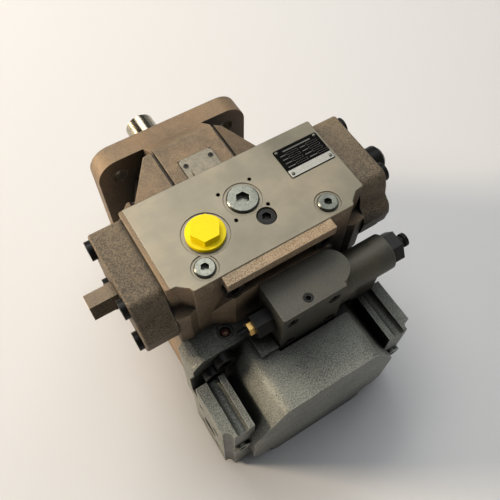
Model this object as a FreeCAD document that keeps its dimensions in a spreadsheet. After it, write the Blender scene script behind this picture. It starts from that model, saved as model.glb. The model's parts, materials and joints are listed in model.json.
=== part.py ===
import FreeCAD, Part
import math
import os
import re

import Sketcher

# Swashplate axial piston pump, about 40 cm3 per turn, in millimetres.
# Origin: centre of the mounting flange's face on the shaft axis.
# +Y runs out along the shaft, +Z is up towards the ground control face, +X is to the right.

SIZES = {
    # mounting flange, four-bolt 125 mm pilot pattern
    "flange_half": 78, "flange_thick": 19.5, "flange_corner": 21.5, "bolt_offset": 56.57,
    "bolt_hole_rad": 7, "pilot_rad": 62.5, "pilot_high": 9,
    # pump housing
    "body_half": 85, "body_front": -50, "body_rear": -190, "body_bottom": -90, "body_top": 66,
    "neck_half": 60, "neck_front_top": 78, "neck_top": 97, "neck_crest": -42, "panel_half": 30,
    "panel_front_half": 39, "panel_rear_half": 66, "panel_rear": -82, "groove_wide": 3, "groove_deep": 3,
    "case_rad": 52, "cradle_seat_rad": 50, "cradle_seat_high": 47, "rim_half": 50,
    # stroking cylinder block on top of the housing, with its ground face
    "block_half": 86, "block_front": -106, "block_rear": -192, "block_bottom": 56, "block_top": 131.6,
    "strip_half": 47, "strip_rear": -201, "strip_drop": 0.6, "strip_thick": 10,
    "notch_outer": 78, "notch_inner": 70.5, "notch_front": -181.5, "notch_rear": -188.5,
    "stroke_axis_y": -147, "stroke_axis_z": 95, "stroke_bore_rad": 24,
    # swash plate and its tilt axis
    "tilt_y": -80, "swash_rad": 47.9, "swash_half": 45, "swash_face": -71, "swash_back": -32,
    "opening_front_rad": 20, "opening_back_rad": 31, "arm_low": 50.5, "arm_high": 62, "arm_half": 9,
    "arm_end_rad": 12, "pin_rad": 7, "pin_top": 104,
    # shaft and its bearings
    "shaft_end": 75, "shaft_rad": 16, "shaft_shoulder": 15, "journal_rad": 17.5, "journal_rear": -28,
    "core_rad": 14.5, "spline_rad": 16.5, "spline_front": -88, "spline_rear": -165,
    "tail_rad": 12.5, "tail_end": -212, "keyway_wide": 10, "keyway_long": 45, "keyway_deep": 5,
    "bearing_front": -10, "bearing_rear": -27, "bearing_rad": 36, "race_thick": 4.5, "roller_rad": 4.45,
    "roller_ring_rad": 27, "race_in_rad": 22.5, "seal_rad": 26, "seal_front": 0, "seal_rear": -8,
    "needle_rad": 2, "needle_ring_rad": 14.55, "sleeve_in_rad": 16.6, "sleeve_out_rad": 19.5,
    "needle_front": -193, "needle_rear": -211,
    # rotating group
    "ring_rad": 35.1, "bore_ring_rad": 34.5, "barrel_rad": 48.5, "barrel_front": -110,
    "barrel_rear": -185.8, "piston_bore_rad": 8.75, "piston_rad": 8, "piston_front": -91,
    "piston_rear": -152, "bore_rear": -172, "neck_rad": 4.4, "ball_rad": 6.5, "socket_rad": 6.6,
    "slipper_foot_rad": 9.2, "slipper_body_rad": 7.9, "slipper_foot_rear": -74, "slipper_end": -83.2,
    "plate_front": -74.1, "plate_rear": -77, "plate_rad": 46, "plate_hub_rad": 26.6, "plate_hub_end": -84,
    "guide_rad": 24, "guide_front": -77.5, "guide_rear": -99, "kidney_wide": 8, "distributor_front": -186,
    # port plate
    "slab_half": 90, "slab_top": 55, "slab_rear": -215, "wing_half": 93.6, "wing_top": 30,
    "wing_front": -224, "wing_rear": -273.5, "wing_bottom": -87, "core_half": 44, "core_top": 49,
    "core_rear": -282, "waist_half": 72, "waist_high": 0, "waist_low": -55, "core_bottom": -90,
    "trough_outer": 67.5, "trough_floor": 4, "gap_floor": 2, "groove_rad": 5.2, "groove_x": 78.2,
    "corner_rad": 6, "wing_plug_x": 80.3, "wing_plug_z": -16, "bead_x": 52, "bead_y": -202,
    "port_y": -241, "port_z": -40, "suction_rad": 16, "suction_bolt_y": 15.1, "suction_bolt_z": 29.35,
    "pressure_rad": 10, "pressure_bolt_y": 11.9, "pressure_bolt_z": 25.4, "port_bolt_rad": 4.25,
    # end covers of the stroking cylinder
    "seal_thick": 0.6, "cover_out": 113.5, "cover_front": -106.5, "cover_rear": -178, "cover_top": 125,
    "cover_foot": -187, "cover_bottom": 58, "cover_corner": 4, "screw_sink": 1.5, "cap_end": 137,
    # plugs on the ground face
    "plug_y": -144, "big_plug_rad": 12.5, "big_spot_rad": 15, "yellow_x": -39.3, "yellow_y": -156,
    "yellow_flange_rad": 15.25, "yellow_spot_rad": 18.5, "yellow_thread_rad": 11, "zinc_x": 53.4,
    "zinc_y": -180, "zinc_rad": 8, "zinc_spot_rad": 10.25, "black_x": 7.5, "black_y": -166,
    "black_rad": 7.75, "pilot_hole_rad": 1.5, "pilot_hole_x": 14, "pilot_hole_far": -131,
    "pilot_hole_near": -157.7, "raw_strip_x": -82.6, "plate_sink": 0.1,
    # pressure control valve on the rear of the block
    "valve_left": -21, "valve_right": 36, "valve_front": -201, "valve_rear": -236, "valve_low": 38,
    "valve_high": 105, "valve_y": -218, "valve_z": 78, "valve_end_rad": 16, "valve_end_x": 33,
    "valve_end_y": -215, "spool_rad": 6, "spring_tube_rad": 16, "spring_tube_end": 91,
    "spring_bore_rad": 11, "lower_boss_rad": 12, "lower_boss_z": 49.6, "lower_boss_end": 60,
    "foot_left": 57, "foot_right": 83, "foot_front": -203, "foot_rear": -228, "foot_low": 31,
    "foot_high": 61,
}

PISTONS = 9
SPLINE_TEETH = 12
FRONT_ROLLERS = 14
REAR_NEEDLES = 16
GAP = 0.05
KEYWAY_ANGLE = 157.5

doc = FreeCAD.newDocument("AxialPistonPump")
sheet = doc.addObject("Spreadsheet::Sheet", "Sizes")
for row, (alias, amount) in enumerate(SIZES.items(), start=1):
    sheet.set(f"A{row}", alias.replace("_", " "))
    sheet.set(f"B{row}", str(amount))
    sheet.setAlias(f"B{row}", alias)
doc.recompute()

nodes = {}

TURN_TO = {
    "X": FreeCAD.Rotation(FreeCAD.Vector(0, 1, 0), 90),
    "Y": FreeCAD.Rotation(FreeCAD.Vector(1, 0, 0), -90),
    "Z": FreeCAD.Rotation(),
}
SKETCH_PLANE = {"X": "YZ_Plane", "Y": "XZ_Plane", "Z": "XY_Plane"}


def cells(text):
    """An expression whose words are looked up in the sheet."""
    return re.sub(r"[a-z][a-z_]+", lambda word: "Sizes." + word.group(), str(text))


def amount_of(text):
    """The number that an expression over the sheet's words comes to."""
    return float(sheet.evalExpression(cells(text)))


def bind(thing, **properties):
    for name, text in properties.items():
        thing.setExpression(name, cells(text))


def put(thing, at, axis="Z", turn=0):
    """Place a thing with its own Z along an axis of the pump, after a turn about that Z."""
    spin = FreeCAD.Rotation(FreeCAD.Vector(0, 0, 1), turn)
    thing.Placement = FreeCAD.Placement(FreeCAD.Vector(), TURN_TO[axis] * spin)
    for letter, text in zip("xyz", at):
        thing.setExpression(f"Placement.Base.{letter}", cells(text))
    return thing


def node(name, thing):
    """Give a finished sub-part its name."""
    thing.Label = name
    nodes[name] = thing
    return thing


def box(x, y, z):
    thing = doc.addObject("Part::Box", "box")
    bind(thing, Length=f"({x[1]})-({x[0]})", Width=f"({y[1]})-({y[0]})", Height=f"({z[1]})-({z[0]})")
    return put(thing, (x[0], y[0], z[0]))


def rod(radius, start, end, axis="Y", through=(0, 0)):
    """A cylinder along an axis, between two places on it, through a point of the other two."""
    thing = doc.addObject("Part::Cylinder", "rod")
    bind(thing, Radius=radius, Height=f"({end})-({start})")
    return put(thing, on_axis(axis, start, through), axis)


def cone(start_rad, end_rad, start, end, axis="Y", through=(0, 0)):
    thing = doc.addObject("Part::Cone", "cone")
    bind(thing, Radius1=start_rad, Radius2=end_rad, Height=f"({end})-({start})")
    return put(thing, on_axis(axis, start, through), axis)


def hexagon(across_flats, start, end, axis="Y", through=(0, 0)):
    """A hexagon bar along an axis; one that runs along X has a flat on top."""
    thing = doc.addObject("Part::Prism", "hexagon")
    thing.Polygon = 6
    bind(thing, Circumradius=f"({across_flats}) / {math.sqrt(3)}", Height=f"({end})-({start})")
    return put(thing, on_axis(axis, start, through), axis, 30 if axis == "X" else 0)


def ball(radius, at):
    thing = doc.addObject("Part::Sphere", "ball")
    bind(thing, Radius=radius)
    return put(thing, at)


def on_axis(axis, along, through):
    across = list(through)
    across.insert("XYZ".index(axis), along)
    return across


def ring(outer, inner, start, end, axis="Y", through=(0, 0)):
    return cut(rod(outer, start, end, axis, through), rod(inner, start, end, axis, through))


def wedge(y, front, back):
    """A tapered block between the rectangle (x0, x1, z0, z1) at y[0] and the one at y[1]."""
    thing = doc.addObject("Part::Wedge", "wedge")
    bind(thing, Ymin=y[0], Ymax=y[1], Xmin=front[0], Xmax=front[1], Zmin=front[2], Zmax=front[3],
         X2min=back[0], X2max=back[1], Z2min=back[2], Z2max=back[3])
    return thing


def fuse(*things):
    if len(things) == 1:
        return things[0]
    result = doc.addObject("Part::MultiFuse", "fuse")
    result.Shapes = list(things)
    result.Refine = True
    return result


def cut(base, *tools):
    result = doc.addObject("Part::Cut", "cut")
    result.Base = base
    result.Tool = fuse(*tools)
    result.Refine = True
    return result


def common(first, second):
    result = doc.addObject("Part::Common", "common")
    result.Base = first
    result.Tool = second
    return result


def group(*things):
    """Separate solids kept together as one sub-part."""
    result = doc.addObject("Part::Compound", "group")
    result.Links = list(things)
    return result


def turned(thing, angle):
    """A thing turned about the shaft axis."""
    result = doc.addObject("Part::Compound", "turned")
    result.Links = [thing]
    result.Placement = FreeCAD.Placement(FreeCAD.Vector(), FreeCAD.Rotation(FreeCAD.Vector(0, 1, 0), angle))
    return result


def rounded(base, radius, is_wanted):
    """Round the straight edges that is_wanted picks by their middle and direction."""
    doc.recompute()
    picked = []
    for index, edge in enumerate(base.Shape.Edges, start=1):
        if isinstance(edge.Curve, Part.Line):
            middle = (edge.Vertexes[0].Point + edge.Vertexes[-1].Point) * 0.5
            if is_wanted(middle, edge.Curve.Direction):
                picked.append((index, radius, radius))
    result = doc.addObject("Part::Fillet", "rounded")
    result.Base = base
    result.Edges = picked
    return result


def along(axis):
    """A test for edges parallel to an axis."""
    place = "XYZ".index(axis)
    return lambda middle, direction: abs(direction[place]) > 0.99


def pad(axis, outline, low, high):
    """A body padded along an axis from a sketched outline, every corner of it bound to the sheet."""
    body = doc.addObject("PartDesign::Body", "body")
    sketch = body.newObject("Sketcher::SketchObject", "outline")
    plane = [item for item in body.Origin.OriginFeatures if item.Role == SKETCH_PLANE[axis]][0]
    sketch.AttachmentSupport = [(plane, "")]
    sketch.MapMode = "FlatFace"
    start = f"-({high})" if axis == "Y" else low
    sketch.setExpression("AttachmentOffset.Base.z", cells(start))
    corners = [FreeCAD.Vector(amount_of(u), amount_of(v), 0) for u, v in outline]
    for index, corner in enumerate(corners):
        sketch.addGeometry(Part.LineSegment(corner, corners[(index + 1) % len(corners)]))
    for index in range(len(corners)):
        following = (index + 1) % len(corners)
        sketch.addConstraint(Sketcher.Constraint("Coincident", index, 2, following, 1))
    for index, place in enumerate(outline):
        for kind, text in zip(("DistanceX", "DistanceY"), place):
            rule = Sketcher.Constraint(kind, -1, 1, index, 1, amount_of(text))
            sketch.setExpression(f"Constraints[{sketch.addConstraint(rule)}]", cells(text))
    solid = body.newObject("PartDesign::Pad", "pad")
    solid.Profile = sketch
    solid.setExpression("Length", cells(f"({high})-({low})"))
    return body


def mirrored(outline):
    """An outline closed by its own mirror image across the pump's middle plane."""
    return outline + [(f"-({u})", v) for u, v in reversed(outline)]


def socket_screw(radius, head_rad, head_high, under_head, tip, axis, through, key_flats):
    """A socket-head cap screw; its head points away from its tip."""
    outward = 1 if amount_of(under_head) > amount_of(tip) else -1
    top = f"({under_head})+({outward * head_high})"
    floor = f"({under_head})+({outward * head_high * 0.45})"
    shank = rod(radius, *sorted((tip, under_head), key=amount_of), axis, through)
    head = rod(head_rad, *sorted((under_head, top), key=amount_of), axis, through)
    recess = hexagon(key_flats, *sorted((floor, top), key=amount_of), axis, through)
    return cut(fuse(shank, head), recess)


def socket_plug(radius, thread_rad, top, thick, tip, axis, through, key_flats):
    """A low screw plug with a bevelled rim and a hexagon socket."""
    bevel = 0.9
    head = rod(radius, f"({top})-({thick})", f"({top})-{bevel}", axis, through)
    rim = cone(radius, f"({radius})-{bevel}", f"({top})-{bevel}", top, axis, through)
    thread = rod(thread_rad, tip, f"({top})-({thick})", axis, through)
    recess = hexagon(key_flats, f"({top})-({thick})", top, axis, through)
    return cut(fuse(head, rim, thread), recess)


# places of the repeated screws, as (x, z) on the port plate and (y, z) on the end covers
PORT_SCREWS = [(-74, 27), (74, 18), (-63, 42), (-60, -76), (60, -76)]
COVER_SCREWS = [(-114.5, 114), (-124, 67.5), (-170.5, 114.5), (-178, 68)]
VALVE_SCREWS = [(-12, 92), (26, 92), (-12, 54), (26, 54)]
REAR_SCREWS = [("-40", 112), ("40", 112)]
GROUND_HOLES = [(f"{sign}pilot_hole_x", y) for sign in ("-", "")
                for y in ("pilot_hole_far", "pilot_hole_near")]


def housing_outside():
    flange = rounded(box(("-flange_half", "flange_half"), ("-flange_thick", 0),
                         ("-flange_half", "flange_half")), amount_of("flange_corner"), along("Y"))
    pilot = rod("pilot_rad", -1, "pilot_high")
    neck = wedge(("body_front", "-flange_thick+1"), ("-neck_half", "neck_half", "-neck_half-6", 60),
                 ("-44", "44", "-48", 48))
    panel = wedge(("neck_crest", "-flange_thick+0.5"), ("-panel_half", "panel_half", 0, "neck_top"),
                  ("-panel_half", "panel_half", 0, "neck_front_top"))
    shoulder = pad("Z", mirrored([("panel_half", "neck_crest"), ("panel_front_half", "neck_crest-1"),
                                  ("panel_rear_half", "panel_rear"), ("body_half", "panel_rear-20"),
                                  ("body_half", "block_front-4")]), 40, "neck_top")
    barrel = rounded(box(("-body_half", "body_half"), ("body_rear", "panel_rear+12"),
                         ("body_bottom+4", "body_top")), 16,
                     lambda middle, direction: abs(direction.y) > 0.99 and middle.z < 0)
    front = wedge(("panel_rear+12", "neck_crest"), ("-body_half", "body_half", "body_bottom+10", 58),
                  ("-neck_half", "neck_half", "-neck_half", 52))
    feet = box(("-52", 52), ("body_rear", "-62"), ("body_bottom", "body_bottom+8"))
    return fuse(flange, pilot, neck, panel, shoulder, barrel, front, feet)


def control_block():
    outline = mirrored([("block_half", "block_front"), ("block_half", "notch_front"),
                        ("notch_outer", "notch_front-1"), ("notch_inner", "notch_rear"),
                        ("notch_inner-1.5", "block_rear")])
    block = rounded(pad("Z", outline, "block_bottom", "block_top"), 1.5, along("Z"))
    strip = box(("-strip_half", "strip_half"), ("strip_rear", "block_rear+1"),
                ("block_top-strip_thick", "block_top-strip_drop"))
    gusset = pad("X", [("block_rear+1", "block_top-strip_thick"), ("strip_rear", "block_top-strip_thick"),
                       ("block_rear+1", "block_top-strip_thick-16")], -6, 6)
    land = common(pad("Z", mirrored([(58.5, "block_rear+0.5"), (41, "valve_front")]), "block_bottom", 106),
                  pad("Y", mirrored([(58.5, "block_bottom"), (58.5, 78), (41, 106)]),
                      "valve_front", "block_rear+1"))
    valve_land = box((-20, 35), ("valve_front", "block_rear+3"), ("valve_low+6", 100))
    heel = pad("Z", mirrored([("block_half", -170), ("block_half", "block_rear+0.2"),
                              ("notch_outer-2", "block_rear-1.9"), (68, "block_rear+1"), (60, -180)]),
               "block_bottom", 100)
    return fuse(block, strip, gusset, land, valve_land, heel)


def housing_hollows():
    case = rod("case_rad", "body_rear", "tilt_y-4")
    swash_room = rod("cradle_seat_rad", "-cradle_seat_high", "cradle_seat_high", "Z", (0, "tilt_y"))
    rim_room = box(("-rim_half", "rim_half"), ("tilt_y-24", "tilt_y+9"), ("-rim_half", "rim_half"))
    arm_room = box((-36, 36), ("stroke_axis_y-17", -47), (44, 64))
    pin_room = box((-16, 34), ("stroke_axis_y-13", "stroke_axis_y+13"), (60, 80))
    indicator_bore = rod(4.4, 60, "neck_top", "Z", (0, "tilt_y"))
    bearing_bore = rod(f"bearing_rad+{GAP}", "swash_back-4", "bearing_front")
    seal_bore = rod("seal_rad", "bearing_front-1", "pilot_high")
    stroke_bore = rod("stroke_bore_rad", "-block_half", "block_half", "X",
                      ("stroke_axis_y", "stroke_axis_z"))
    return [case, swash_room, rim_room, arm_room, pin_room, indicator_bore, bearing_bore, seal_bore,
            stroke_bore]


def ground_face_holes():
    top = "block_top"
    holes = [rod("big_plug_rad+0.05", f"{top}-3.2", top, "Z", (0, "plug_y")),
             rod(10.05, 116, f"{top}-3", "Z", (0, "plug_y")),
             rod("big_spot_rad", f"{top}-0.6", top, "Z", (0, "plug_y")),
             box(("-block_half-1", "raw_strip_x"), ("block_rear-1", "block_front+1"), (f"{top}-0.6", top)),
             box((42.6, 83.8), (-148.1, -118.9), (f"{top}-plate_sink", top)),
             rod("yellow_spot_rad", f"{top}-0.8", top, "Z", ("yellow_x", "yellow_y")),
             rod("yellow_thread_rad+0.1", f"{top}-10", top, "Z", ("yellow_x", "yellow_y")),
             rod("black_rad", f"{top}-5", top, "Z", ("black_x", "black_y")),
             rod(6.05, f"{top}-13", top, "Z", ("black_x", "black_y"))]
    for sign in ("-", ""):
        place = (f"{sign}zinc_x", "zinc_y")
        holes += [rod("zinc_spot_rad", f"{top}-0.8", top, "Z", place),
                  rod("zinc_rad+0.05", f"{top}-3", top, "Z", place),
                  rod(6.05, f"{top}-13", top, "Z", place)]
    holes += [rod("pilot_hole_rad", f"{top}-8", top, "Z", place) for place in GROUND_HOLES]
    return holes


def pump_housing():
    """The main casting: flange, case, and the stroking cylinder block with its ground top face."""
    offset = "bolt_offset"
    flange_holes = [rod("bolt_hole_rad", -60, 1, "Y", (f"{a}{offset}", f"{b}{offset}"))
                    for a in ("-", "") for b in ("-", "")]
    ears = [box((f"{left}", f"{right}"), ("-48", "-flange_thick"), (f"{low}", f"{high}"))
            for left, right in ((-78, -41), (41, 78)) for low, high in ((-78, -41), (41, 78))]
    grooves = [box((f"{side}-groove_wide/2", f"{side}+groove_wide/2"), ("block_front", "neck_crest+4"),
                   ("neck_top-groove_deep", "neck_top+1")) for side in ("-panel_half", "panel_half")]
    indicator_seat = box((-16.4, 16.4), (-97, -62.6), ("neck_top-0.5", "neck_top+1"))
    screw_holes = [rod(6.05, "body_rear", "body_rear+26", "Y", place) for place in PORT_SCREWS]
    screw_holes += [rod(5.05, *span, "X", place) for place in COVER_SCREWS
                    for span in (("-block_half", "-block_half+20"), ("block_half-20", "block_half"))]
    screw_holes += [rod(3.05, "valve_front-1", "block_rear+14", "Y", place) for place in VALVE_SCREWS]
    screw_holes += [rod(5.05, "block_rear-1", "block_rear+24", "Y", place) for place in REAR_SCREWS]
    screw_holes += [rod(8.3, "valve_front-1", "block_rear", "Y", place) for place in REAR_SCREWS]
    drain = rod(9.05, -88, -70, "X", (-120, 30))
    slope = pad("Y", [("panel_half+1.6", "neck_top+2"), ("panel_half+1.6", "neck_top-1"), (88, 64),
                      (88, "neck_top+2")], "block_front+0.2", "-flange_thick")
    solid = fuse(cut(housing_outside(), slope), control_block())
    trimmed = cut(solid, *ears, *grooves)
    hollowed = cut(trimmed, *housing_hollows(), indicator_seat)
    return node("pump_housing", cut(hollowed, *ground_face_holes(), *flange_holes, *screw_holes, drain))


def port_plate():
    """The rear casting, with the side ports and the octagonal end."""
    slab = rounded(pad("Y", mirrored([("core_half", "slab_top"), ("slab_half-10", "slab_top"),
                                      ("slab_half", "slab_top-12"), ("slab_half", -68),
                                      (68, "core_bottom")]), "slab_rear", "body_rear"), 5, along("Y"))
    octagon = pad("Y", mirrored([("core_half", "core_top"), ("waist_half", "waist_high"),
                                 ("waist_half", "waist_low"), ("core_half+1", "core_bottom")]),
                  "core_rear", "slab_rear+1")
    octagon = rounded(octagon, 12, along("Y"))
    wings = pad("Z", mirrored([("wing_half", "slab_rear+1"), ("wing_half", "wing_rear"),
                               ("core_half", "wing_rear")]), "wing_bottom", "wing_top")
    hollows = []
    for sign in ("-", ""):
        low, high = sorted((f"{sign}(wing_half+2)", f"{sign}trough_outer"), key=amount_of)
        hollows.append(box((low, high), ("wing_front", "slab_rear"), ("gap_floor", "slab_top+2")))
        low, high = sorted((f"{sign}trough_outer", f"{sign}20"), key=amount_of)
        hollows.append(box((low, high), ("wing_rear-1", "slab_rear"), ("trough_floor", "slab_top+2")))
        hollows.append(rod("groove_rad", "wing_rear-1", "wing_front+1", "Y",
                           (f"{sign}groove_x", "wing_top")))
        hollows.append(rod("corner_rad", "wing_bottom-1", "wing_top+1", "Z",
                           (f"{sign}(wing_half-1)", "wing_rear+1")))
    wings = cut(wings, *hollows)
    valve_seat = box(("-38", "-20"), ("valve_rear", "slab_rear+1"), ("core_top-5", "slab_top"))
    cuts = [rod(6.05, "slab_rear-1", "body_rear", "Y", place) for place in PORT_SCREWS]
    cuts += [rod(10, "core_rear-1", "slab_rear", "Y", place) for place in PORT_SCREWS[3:]]
    cuts += [box(("valve_left-1", 56), ("valve_rear-2", "valve_front"), ("valve_low-1", "slab_top+1")),
             box((-20.05, 35.05), ("valve_front-1", "body_rear"), ("valve_low+5.95", "slab_top+1")),
             box(("foot_left-1", "foot_right+9"), ("foot_rear-8", "foot_front+2"),
                 ("foot_low-0.7", "slab_top+1"))]
    cuts += [rod(f"sleeve_out_rad+{GAP}", "needle_rear", "body_rear"), rod("tail_rad+2", "tail_end-3", -200),
             rod("suction_rad", 20, "wing_half", "X", ("port_y", "port_z")),
             rod("pressure_rad", "-wing_half", -20, "X", ("port_y", "port_z"))]
    for side, span in (("suction", ("wing_half-14", "wing_half")),
                       ("pressure", ("-wing_half", "-wing_half+18"))):
        cuts += [rod("port_bolt_rad", *span, "X", (f"port_y{a}{side}_bolt_y", f"port_z{b}{side}_bolt_z"))
                 for a in "+-" for b in "+-"]
    for sign in ("-", ""):
        cuts += [rod(7.05, "wing_rear-1", "wing_rear+11", "Y", (f"{sign}wing_plug_x", "wing_plug_z")),
                 rod(7.5, "slab_top-2", "slab_top+1", "Z", (f"{sign}bead_x", "bead_y")),
                 rod(4.5, "slab_top-9", "slab_top", "Z", (f"{sign}bead_x", "bead_y"))]
    return node("port_plate", cut(fuse(slab, octagon, wings, valve_seat), *cuts))


def cover_slab(inner, outer):
    """An end cover's outline, whose rear edge dips and then bulges, between two places along X."""
    rear = [("cover_rear-5", 112), ("cover_rear-6.5", 104), ("cover_rear-14", 98), ("cover_rear-16.5", 90),
            ("cover_rear-15", 77), ("cover_rear-10", 64)]
    outline = [("cover_front", "cover_bottom"), ("cover_front", "cover_top"), ("cover_rear", "cover_top"),
               *rear, ("cover_foot", "cover_bottom")]
    rear_edge = amount_of("cover_rear")
    soft = rounded(pad("X", outline, inner, outer), 8,
                   lambda middle, direction: abs(middle.y - rear_edge) < 0.01 and middle.z > 120)
    return rounded(soft, amount_of("cover_corner"),
                   lambda middle, direction: abs(direction.x) > 0.99 and (middle.y > -110 or middle.z < 108))


def end_cover(name, sign, bore_rad):
    """A cast cap over one end of the stroking cylinder."""
    inner, outer = sorted((f"{sign}(block_half+seal_thick)", f"{sign}cover_out"), key=amount_of)
    outside = amount_of("cover_out")
    soft = rounded(cover_slab(inner, outer), 2,
                   lambda middle, direction: abs(abs(middle.x) - outside) < 0.01)
    floor = sorted((f"{sign}(cover_out-screw_sink)", f"{sign}(cover_out+1)"), key=amount_of)
    holes = [rod(5.05, inner, outer, "X", place) for place in COVER_SCREWS]
    sinks = [rod(8.4, *floor, "X", place) for place in COVER_SCREWS]
    centre = rod(bore_rad, inner, outer, "X", ("stroke_axis_y", "stroke_axis_z"))
    return node(name, cut(soft, centre, *holes, *sinks))


def cover_seal_plates():
    """The thin sheets that seal the end covers to the block."""
    sheets = []
    for sign in ("-", ""):
        inner, outer = sorted((f"{sign}block_half", f"{sign}(block_half+seal_thick)"), key=amount_of)
        holes = [rod(5.2, inner, outer, "X", place) for place in COVER_SCREWS]
        centre = rod("stroke_bore_rad", inner, outer, "X", ("stroke_axis_y", "stroke_axis_z"))
        sheets.append(cut(cover_slab(inner, outer), centre, *holes))
    return node("cover_seal_plates", group(*sheets))


def cap_screws():
    """The M10 screws of both end covers and of the block's rear face."""
    screws = []
    for place in COVER_SCREWS:
        for sign in ("-", ""):
            screws.append(socket_screw(5, 8, 6, f"{sign}(cover_out-screw_sink)", f"{sign}(block_half-18)",
                                       "X", place, 8))
    screws += [socket_screw(5, 8, 7, "block_rear", "block_rear+22", "Y", place, 8) for place in REAR_SCREWS]
    return node("cap_screws", group(*screws))


def port_plate_screws():
    screws = [socket_screw(6, 9, 8, "slab_rear", "body_rear+24", "Y", place, 10) for place in PORT_SCREWS]
    return node("port_plate_screws", group(*screws))


def top_plugs():
    """The plugs on the ground face and elsewhere on the castings."""
    top = "block_top"
    node("pin_access_plug", socket_plug("big_plug_rad", 10, f"{top}+1.8", 5, 121, "Z",
                                        (0, "plug_y"), 10))
    zinc = [socket_plug("zinc_rad", 6, f"{top}+1.6", 4.6, f"{top}-12", "Z", (f"{sign}zinc_x", "zinc_y"), 6)
            for sign in ("-", "")]
    for sign in ("-", ""):
        place = (f"{sign}wing_plug_x", "wing_plug_z")
        thread = rod(7, "wing_rear", "wing_rear+10", "Y", place)
        head = rod(8, "wing_rear-3", "wing_rear", "Y", place)
        zinc.append(cut(fuse(thread, head), hexagon(7, "wing_rear-3", "wing_rear+1", "Y", place)))
    zinc.append(cut(fuse(rod(9, -85, -72, "X", (-120, 30)), rod(11.5, -88, -85, "X", (-120, 30))),
                    hexagon(9, -88, -82, "X", (-120, 30))))
    node("zinc_socket_plugs", group(*zinc))
    black_top = socket_plug("black_rad-0.05", 6, f"{top}-1", 4, f"{top}-12", "Z", ("black_x", "black_y"), 7)
    valve_top = cut(rod(4, "valve_high-8", "valve_high-0.4", "Z", (5, -229)),
                    hexagon(4, "valve_high-4", "valve_high-0.4", "Z", (5, -229)))
    side = ("stroke_axis_y", "stroke_axis_z")
    cover_cap = cut(fuse(rod(12, "cover_out", "cap_end-3", "X", side),
                         cone(12, 9, "cap_end-3", "cap_end", "X", side),
                         rod(9.95, "block_half+6", "cover_out", "X", side)),
                    hexagon(10, "cap_end-6", "cap_end", "X", side))
    node("black_socket_plugs", group(black_top, valve_top, cover_cap))


def yellow_port_plug():
    """The plastic shipping plug: a thin flange, a hexagon head and a hollow thread."""
    place = ("yellow_x", "yellow_y")
    base = "block_top-0.8"
    flange = rod("yellow_flange_rad", base, f"{base}+3.5", "Z", place)
    head = hexagon(21, f"{base}+3.5", f"{base}+9.5", "Z", place)
    thread = ring("yellow_thread_rad", "yellow_thread_rad-2", "block_top-9", base, "Z", place)
    return node("yellow_port_plug", fuse(flange, head, thread))


def plates():
    name_plate = box((42.7, 83.7), (-148, -119), ("block_top-plate_sink", "block_top+0.8"))
    node("name_plate", rounded(name_plate, 1.2, along("Z")))
    low = "neck_top-0.5"
    plate = rounded(box(("-16", 16), ("-96.5", "-63"), (low, f"{low}+1.5")), 4, along("Z"))
    dome = rod(11, f"{low}+1.5", f"{low}+4.5", "Z", (0, -82))
    hollow = rod(9.5, f"{low}+0.6", f"{low}+3.4", "Z", (0, -82))
    holes = [rod(2, low, f"{low}+1.5", "Z", (f"{sign}12", -71)) for sign in ("-", "")]
    shaft_hole = rod(4.6, low, f"{low}+1", "Z", (0, "tilt_y"))
    node("indicator_plate", cut(fuse(plate, dome), hollow, shaft_hole, *holes))
    pin = rod(4, "arm_high", f"{low}+1", "Z", (0, "tilt_y"))
    pointer = box(("-1", 1), ("tilt_y-9", "tilt_y"), (f"{low}+1.2", f"{low}+2.4"))
    boss = rod(2.5, f"{low}+0.9", f"{low}+2.4", "Z", (0, "tilt_y"))
    node("swash_indicator", fuse(pin, pointer, boss))


def swash_plate():
    """The tilting cradle with its running face, opening, control arm and pin."""
    cradle = common(rod("swash_rad", "-swash_half", "swash_half", "Z", (0, "tilt_y")),
                    box(("-60", 60), ("swash_face", "tilt_y+60"), ("-60", 60)))
    opening = cone("opening_front_rad", "opening_back_rad", "swash_face-0.01", "swash_back")
    post = box(("-12", 12), ("swash_face", -52), ("swash_half-1", "arm_high"))
    arm = box(("-arm_half", "arm_half"), ("stroke_axis_y", -60), ("arm_low", "arm_high"))
    eye = rod("arm_end_rad", "arm_low", "arm_high", "Z", (0, "stroke_axis_y"))
    pin = rod("pin_rad", "arm_high-1", "pin_top", "Z", (0, "stroke_axis_y"))
    return node("swash_plate", fuse(cut(cradle, opening), post, arm, eye, pin))


def cradle_bearings():
    """Two curved low-friction shells that the swash plate rocks in, above and below the shaft."""
    shell = ring("cradle_seat_rad-0.02", "swash_rad+0.05", "-swash_half", "swash_half", "Z", (0, "tilt_y"))
    upper = common(shell, box(("-36", 36), (-50, -25), (37, 45)))
    shell = ring("cradle_seat_rad-0.02", "swash_rad+0.05", "-swash_half", "swash_half", "Z", (0, "tilt_y"))
    lower = common(shell, box(("-36", 36), (-50, -25), (-45, -37)))
    return node("cradle_bearings", group(upper, lower))


def spline_teeth(extra):
    teeth = []
    for index in range(SPLINE_TEETH):
        tooth = box((f"-1.6-{extra}", f"1.6+{extra}"), ("spline_rear", "spline_front"),
                    ("core_rad-2", f"spline_rad+{extra}"))
        teeth.append(turned(tooth, 360 / SPLINE_TEETH * index))
    return teeth


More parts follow.
